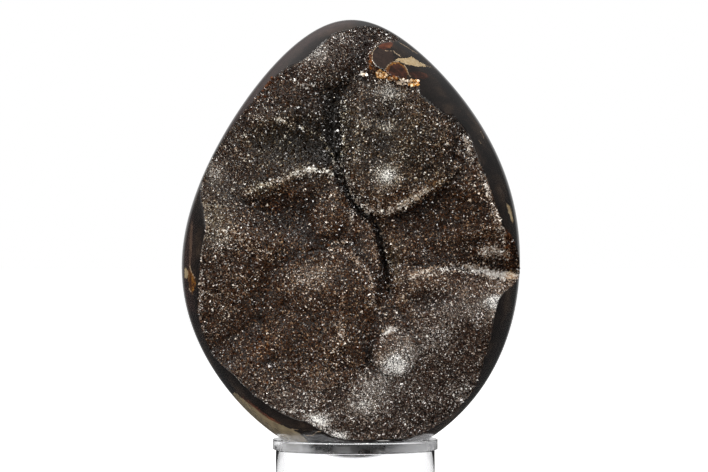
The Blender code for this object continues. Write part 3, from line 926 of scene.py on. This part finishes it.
# Painted shade in the creases
PAINTED_SHADE = Field(near_lines(grid_x, grid_z, PAINTED_SHADE_LINES))
# Pale frost and painted highlight in the patches
FROST_AND_HIGHLIGHT = Field(in_patches(grid_x, grid_z, FROST_AND_HIGHLIGHTS))
HONEY = Field(in_patches(grid_x, grid_z, TINTED))
OLIVE = Field(in_patches(grid_x, grid_z, OLIVE_PATCHES))
GREY, LIGHT = (Field(values) for values in plate_tones(grid_x, grid_z))


def crystals():
    """About 208,000 three-sided pyramids, each closed, standing on the bed at random tilts.

    A pyramid's tip lies along the face's normal, leaned at random, and its three base corners
    lie round that line a third of a turn apart. Sizes are lognormal round 0.35 mm, and larger
    on the pale lines. Shade, greyness and tints follow the lines, patches and plates, so besides
    the crystals' own tones the shade holds painted highlight on ridges and in bright patches, and
    painted shade in creases and hollows.
    """
    spacing = 0.346
    cell = 0.5
    least_room = 0.35
    smallest = 0.18
    largest = 1.2
    x, z = np.meshgrid(np.arange(-82, 82, cell), np.arange(LOWEST_BREAK + GAP, 212, cell))
    x = x.ravel()
    z = z.ravel()
    slope = np.sqrt(1 + SLOPE_X.at(x, z) ** 2 + SLOPE_Z.at(x, z) ** 2)
    wanted = np.minimum(slope, 3) * cell**2 / spacing**2
    repeats = np.floor(wanted + CHANCE.uniform(0, 1, x.shape)).astype(int)
    x = np.repeat(x, repeats) + CHANCE.uniform(0, cell, repeats.sum())
    z = np.repeat(z, repeats) + CHANCE.uniform(0, cell, repeats.sum())
    depth = DEPTH.at(x, z)
    room = egg_front(x, z) - depth
    keep = (room > least_room) & (z > LOWEST_BREAK + GAP + 0.4)
    x, z, depth, room = x[keep], z[keep], depth[keep], room[keep]
    count = len(x)
    normal = np.stack([-SLOPE_X.at(x, z), np.ones(count), -SLOPE_Z.at(x, z)], -1)
    normal /= np.linalg.norm(normal, axis=1)[:, None]
    lean = CHANCE.normal(0, 0.42, (count, 3))
    up = normal + lean
    up /= np.linalg.norm(up, axis=1)[:, None]
    aside = np.cross(up, CHANCE.normal(0, 1, (count, 3)))
    aside /= np.linalg.norm(aside, axis=1)[:, None]
    across = np.cross(up, aside)
    line = PALE_AND_HIGHLIT.at(x, z)
    frost_and_highlight = FROST_AND_HIGHLIGHT.at(x, z)
    size = np.clip(CHANCE.lognormal(-1.06, 0.42, count), smallest, largest)
    size = size * (1 - 0.25 * np.clip(frost_and_highlight, 0, 1)) * (1 + 0.4 * np.clip(line, 0, 1.2))
    size = size * np.clip(0.5 + room / 2.5, 0.5, 1)
    tall = size * CHANCE.uniform(0.65, 1.5, count)
    middle = np.stack([x, depth, z], -1) - normal * (0.3 * size)[:, None]
    corners = [middle + up * tall[:, None]]
    for n in range(3):
        turn = 2 * np.pi * n / 3
        corners.append(middle + (aside * np.cos(turn) + across * np.sin(turn)) * size[:, None])
    points = np.stack(corners, 1)
    points = place_points(points[..., 0], points[..., 1], points[..., 2])
    dark = PAINTED_SHADE.at(x, z)
    light = LIGHT.at(x, z)
    relief_shading = np.clip(RELIEF_SHADING.at(x, z) / 1.2, -1, 1)
    # Painted light: more pale crystals and a lighter shade on ridges, lines and bright patches stand in for
    # highlights, and fewer, darker ones in creases and darkened plates stand in for shade
    pale = 0.075 + 0.08 * light + 0.08 * np.clip(relief_shading, 0, 1) + 0.42 * line + 0.4 * frost_and_highlight
    pale = pale * (1 - 0.9 * dark) * (1 + 0.6 * lumps(x, z, 9, 4) + 0.3 * lumps(x, z, 3.5, 5))
    draw = CHANCE.uniform(0, 1, count)
    shade = CHANCE.normal(0.285, 0.2, count) + 0.1 * relief_shading + 0.2 * light + 0.03 * line
    shade = shade + 0.3 * np.clip(frost_and_highlight, 0, 1)
    shade = np.clip(shade - 0.3 * dark, 0, 0.75)
    is_pale = draw < pale
    paleness = CHANCE.uniform(0.55, 1.0, count)
    paleness = paleness + (1 - paleness) * np.clip(0.5 * frost_and_highlight + 0.25 * line, 0, 0.9)
    shade = np.where(is_pale, paleness, shade)
    # Pale lines and patches are also made greyer, as a painted highlight is near white
    grey = 0.45 + 0.4 * GREY.at(x, z) + 0.4 * frost_and_highlight + 0.35 * line
    grey = np.clip(grey + CHANCE.normal(0, 0.08, count), 0, 1)
    honey = np.clip(HONEY.at(x, z) * CHANCE.uniform(0.4, 1.4, count), 0, 1)
    olive = np.clip(OLIVE.at(x, z) + CHANCE.normal(0, 0.15, count), 0, 1)
    region = (x > 0) * 1 + (z > 70) * 2 + (z > 125) * 2
    rows = ["lower", "middle", "upper"]
    for n, name in enumerate(f"crystals_{row}_{side}" for row in rows for side in ("left", "right")):
        mine = region == n
        first = np.arange(mine.sum())[:, None] * 4
        faces = np.concatenate([first + [0, 1, 2], first + [0, 2, 3], first + [0, 3, 1], first + [1, 3, 2]])
        piece = new_piece(name, points[mine].reshape(-1, 3), faces, CALCITE)
        for label, values in {"shade": shade, "grey": grey, "honey": honey, "olive": olive}.items():
            give(piece, label, np.repeat(values[mine], 4))
        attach(piece, "root")


# Blocky crystals at the rim: the middle, half width and half height of the patch they stand in,
# how many, how honey coloured, and the darkest and palest of them
BLOCKS = {
    "golden, left of the amber": (13.8, 183.3, 2.8, 2.0, 46, 0.7, 0.6, 1.0),
    "under the amber": (19, 180.9, 3.2, 1.0, 26, 0.55, 0.45, 0.95),
    "pinkish white": (23.5, 179.4, 3.0, 1.3, 34, 0.15, 0.8, 1.0),
    "amber block": (29, 179, 3.4, 1.7, 46, 0.75, 0.65, 1.0),
    "standing stone's left edge": (8.6, 190, 0.9, 4.5, 20, 0.4, 0.2, 0.6),
    "red brown, right rim": (74, 103.5, 1.8, 9.0, 50, 0.3, 0.1, 0.5),
    "red brown, upper left rim": (-42.5, 178, 2.5, 7.0, 30, 0.3, 0.15, 0.45),
    "white, left of the golden": (5.8, 183, 1.3, 0.8, 9, 0.1, 0.85, 1.0),
}


def amber_crystals():
    """Larger blocks: each a rhomb of calcite, at random turns, in the patches of BLOCKS.

    A rhomb is every sum of its three edges, which stand a third of a turn apart about one axis
    and each rise by squash along it.
    """
    squash = 0.75
    edges = np.array([(np.cos(turn), np.sin(turn), squash) for turn in 2 * np.pi * np.arange(3) / 3])
    steps = np.array([(i, j, k) for i in (0, 1) for j in (0, 1) for k in (0, 1)])
    rhomb = (steps - 0.5) @ edges
    sides = [(0, 2, 3, 1), (4, 5, 7, 6), (0, 1, 5, 4), (2, 6, 7, 3), (0, 4, 6, 2), (1, 3, 7, 5)]
    corners, shades, honeys = [], [], []
    for cx, cz, half_width, half_height, count, honey, darkest, palest in BLOCKS.values():
        turn = CHANCE.uniform(0, 2 * np.pi, count)
        reach = np.sqrt(CHANCE.uniform(0, 1, count))
        x, z = onto_the_face(cx + half_width * reach * np.cos(turn), cz + half_height * reach * np.sin(turn))
        size = CHANCE.uniform(0.35, 0.95, count)
        first, second = (CHANCE.normal(0, 1, (count, 3)) for _ in range(2))
        first /= np.linalg.norm(first, axis=1)[:, None]
        second = np.cross(first, second)
        second /= np.linalg.norm(second, axis=1)[:, None]
        axes = np.stack([first, second, np.cross(first, second)], 1)
        block = (rhomb[None] @ axes) * size[:, None, None]
        middle = np.stack([x, DEPTH.at(x, z) + 0.1, z], -1)
        corners.append(middle[:, None] + block)
        shades.append(np.repeat(CHANCE.uniform(darkest, palest, count), 8))
        honeys.append(np.repeat(np.clip(honey + CHANCE.normal(0, 0.1, count), 0, 1), 8))
    corners = np.concatenate(corners)
    points = place_points(corners[..., 0], corners[..., 1], corners[..., 2]).reshape(-1, 3)
    faces = np.arange(len(corners))[:, None, None] * 8 + np.array(sides)
    piece = new_piece("amber_crystals", points, faces.reshape(-1, 4), CALCITE)
    give(piece, "shade", np.concatenate(shades))
    give(piece, "honey", np.concatenate(honeys))
    give(piece, "grey", np.full(len(points), 0.2))
    give(piece, "olive", np.zeros(len(points)))
    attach(piece, "root")


def lathe(name, profile, steps, material, node):
    """A closed profile of (radius, height) turned about the stand's axis."""
    turn = np.linspace(0, 2 * np.pi, steps, endpoint=False)
    radius, height = np.array(profile).T
    x = radius[:, None] * np.cos(turn) + STAND_OFFSET
    y = radius[:, None] * np.sin(turn)
    z = np.repeat(height[:, None], steps, 1)
    points = np.stack([x + AXIS_X, y + AXIS_Y, z], -1).reshape(-1, 3) * MM
    number = np.arange(len(profile) * steps).reshape(len(profile), steps)
    below = np.roll(number, -1, axis=0)
    faces = np.stack([number, below, np.roll(below, -1, axis=1), np.roll(number, -1, axis=1)], -1)
    faces = faces.reshape(-1, 4)
    piece = new_piece(name, points, faces, material, smooth=True)
    piece.data.set_sharp_from_angle(angle=np.radians(35))
    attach(piece, "root")
    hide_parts(node)
    return piece


def rounded(corners, radius, pieces=5):
    """A closed outline with its corners turned by arcs of a radius, in the given order."""
    corners = np.array(corners, dtype=float)
    outline = []
    for before, here, after in zip(np.roll(corners, 1, 0), corners, np.roll(corners, -1, 0)):
        back = (before - here) / np.linalg.norm(before - here)
        on = (after - here) / np.linalg.norm(after - here)
        for t in np.linspace(0, 1, pieces + 1):
            outline.append(here + radius * (back * (1 - t) ** 2 + on * t**2))
    return outline


def stand():
    """The ring and the tube, each an outline of radius and height turned about one axis.

    The ring's outline runs round its section, so one row of its faces is the bore, and that row
    takes the turned finish.
    """
    ring = [
        (RING_RADIUS, RING_TOP), (RING_RADIUS, RING_BOTTOM), (BORE_RADIUS, RING_BOTTOM),
        (BORE_RADIUS, RING_TOP - SEAT_CHAMFER), (BORE_RADIUS + SEAT_CHAMFER, RING_TOP),
    ]
    tube = [(TUBE_RADIUS, TUBE_LENGTH), (TUBE_RADIUS, 0.0), (BORE_RADIUS, 0.0), (BORE_RADIUS, TUBE_LENGTH)]
    piece = lathe("acrylic_ring", rounded(ring, 0.3), STAND_STEPS, ACRYLIC, "stand_ring")
    piece.data.materials.append(BORE)
    row = np.arange(len(piece.data.polygons)) // STAND_STEPS
    piece.data.polygons.foreach_set("material_index", (row == BORE_ROW).astype(np.int32))
    lathe("acrylic_tube", rounded(tube, 0.25), STAND_STEPS, ACRYLIC, "stand_tube")


def panels(tree, x, y):
    """Brightness of eight white panels round the stone, with dark gaps that draw the acrylic's edges."""
    turn = add(tree, "ShaderNodeMath", {"operation": "ARCTAN2"}, {0: x, 1: y})
    turn = add(tree, "ShaderNodeMath", {"operation": "MULTIPLY", 1: 8.0}, {0: turn})
    wave = add(tree, "ShaderNodeMath", {"operation": "COSINE"}, {0: turn})
    span = {"From Min": -0.4, "From Max": 0.5, "To Min": 0.1, "To Max": 1.15}
    return add(tree, "ShaderNodeMapRange", span, {"Value": wave})


def studio():
    """The camera sees white. Reflections see a dim room, paler straight behind the stone and overhead.

    Rays through the acrylic see eight panels. Soft lamps stand in front to the left and right, and
    overhead, and a pale floor lies just under the stand.
    """
    scene = bpy.context.scene
    scene.view_settings.view_transform = "Standard"
    world = bpy.data.worlds.new("studio")
    scene.world = world
    world.use_nodes = True
    tree = world.node_tree
    sky = tree.nodes["Background"]
    direction = add(tree, "ShaderNodeTexCoord").outputs["Generated"]
    parts = add(tree, "ShaderNodeSeparateXYZ", {}, {0: direction})
    behind = {"From Min": 0.92, "From Max": 0.998, "To Min": 0.05, "To Max": 0.5}
    back = add(tree, "ShaderNodeMapRange", behind, {"Value": parts.outputs["Y"]})
    overhead = {"From Min": 0.15, "From Max": 0.6, "To Min": 0.0, "To Max": 0.38}
    above = add(tree, "ShaderNodeMapRange", overhead, {"Value": parts.outputs["Z"]})
    leftward = {"From Min": -0.1, "From Max": 0.5, "To Min": 1.0, "To Max": 0.35}
    left = add(tree, "ShaderNodeMapRange", leftward, {"Value": parts.outputs["X"]})
    around = add(tree, "ShaderNodeMath", {"operation": "MULTIPLY_ADD"}, {0: above, 1: left, 2: back})
    beyond = panels(tree, parts.outputs["X"], parts.outputs["Y"])
    path = add(tree, "ShaderNodeLightPath")
    by_ray = {"data_type": "FLOAT", 3: 0.25}
    diffuse = add(tree, "ShaderNodeMix", by_ray, {0: path.outputs["Is Diffuse Ray"], 2: around})
    through = path.outputs["Is Transmission Ray"]
    clear = add(tree, "ShaderNodeMix", {"data_type": "FLOAT"}, {0: through, 2: diffuse, 3: beyond})
    white = {"data_type": "FLOAT", 3: 1.0}
    seen = add(tree, "ShaderNodeMix", white, {0: path.outputs["Is Camera Ray"], 2: clear})
    tree.links.new(seen.outputs[0], sky.inputs["Strength"])
    sky.inputs["Color"].default_value = (1, 1, 1, 1)

    def softbox(name, place, size, strength):
        """A soft lamp at a place, turned to the stone's middle, its size in metres and strength in watts."""
        lamp = bpy.data.lights.new(name, "AREA")
        lamp.shape = "RECTANGLE"
        lamp.size, lamp.size_y = size
        lamp.energy = strength
        lamp.color = (1.0, 0.97, 0.93)
        obj = bpy.data.objects.new(name, lamp)
        scene.collection.objects.link(obj)
        obj.location = place
        obj.rotation_euler = (Vector((0, 0, 0.13)) - Vector(place)).to_track_quat("-Z", "Y").to_euler()

    softbox("softbox_left", (-0.75, -1.05, 0.85), (0.45, 0.45), 15)
    softbox("softbox_right", (0.95, -0.95, 0.75), (0.4, 0.4), 6)
    softbox("softbox_top", (0.0, -0.5, 1.25), (0.7, 0.4), 13)

    floor, tree, shader = new_material("pale_floor")
    shader.inputs["Base Color"].default_value = (0.85, 0.85, 0.85, 1)
    shader.inputs["Roughness"].default_value = 0.9
    shader.inputs["Emission Color"].default_value = (1, 1, 1, 1)
    place = add(tree, "ShaderNodeTexCoord").outputs["Object"]
    away = add(tree, "ShaderNodeVectorMath", {"operation": "NORMALIZE"}, {0: place})
    parts = add(tree, "ShaderNodeSeparateXYZ", {}, {0: away})
    distance = add(tree, "ShaderNodeVectorMath", {"operation": "LENGTH"}, {0: place}).outputs["Value"]
    far = add(tree, "ShaderNodeMapRange", {"From Min": 0.4, "From Max": 1.5}, {"Value": distance})
    beyond = panels(tree, parts.outputs["X"], parts.outputs["Y"])
    beyond = add(tree, "ShaderNodeMix", {"data_type": "FLOAT", 2: 1.15}, {0: far, 3: beyond})
    back = add(tree, "ShaderNodeMapRange", behind, {"Value": parts.outputs["Y"]})
    path = add(tree, "ShaderNodeLightPath")
    glow = add(tree, "ShaderNodeMath", {"operation": "MULTIPLY", 1: 0.8}, {0: path.outputs["Is Camera Ray"]})
    tree.links.new(glow.outputs[0], shader.inputs["Emission Strength"])
    through = path.outputs["Is Transmission Ray"]
    strength = add(tree, "ShaderNodeMix", {"data_type": "FLOAT"}, {0: through, 2: back, 3: beyond})
    only = add(
        tree, "ShaderNodeMath", {"operation": "MAXIMUM"},
        {0: path.outputs["Is Glossy Ray"], 1: through},
    )
    mirrored = add(tree, "ShaderNodeEmission", {"Color": (1, 1, 1, 1)}, {"Strength": strength})
    mixed = add(tree, "ShaderNodeMixShader", {}, {0: only, 1: shader, 2: mirrored})
    tree.links.new(mixed.outputs[0], tree.nodes["Material Output"].inputs["Surface"])
    reach = 12.0
    just_below = -0.0005
    x, y = np.meshgrid([-reach, reach], [-reach, reach])
    points = np.stack([x, y, np.full(x.shape, just_below)], -1).reshape(-1, 3)
    ground = new_piece("floor", points, np.array([[0, 1, 3, 2]]), floor)


def camera():
    """A long lens, level, straight in front of the egg's axis."""
    eye = bpy.data.cameras.new("camera")
    eye.lens = LENS_MM
    eye.sensor_width = SENSOR_MM
    eye.clip_end = 50
    obj = bpy.data.objects.new("camera", eye)
    bpy.context.scene.collection.objects.link(obj)
    obj.location = (AXIS_X * MM + CAMERA_ASIDE, AXIS_Y * MM - CAMERA_DISTANCE, CAMERA_HEIGHT)
    obj.rotation_euler = (np.pi / 2, 0, 0)
    bpy.context.scene.camera = obj


camera()
polished_egg()
druse_bed()
crystals()
amber_crystals()
stand()
studio()
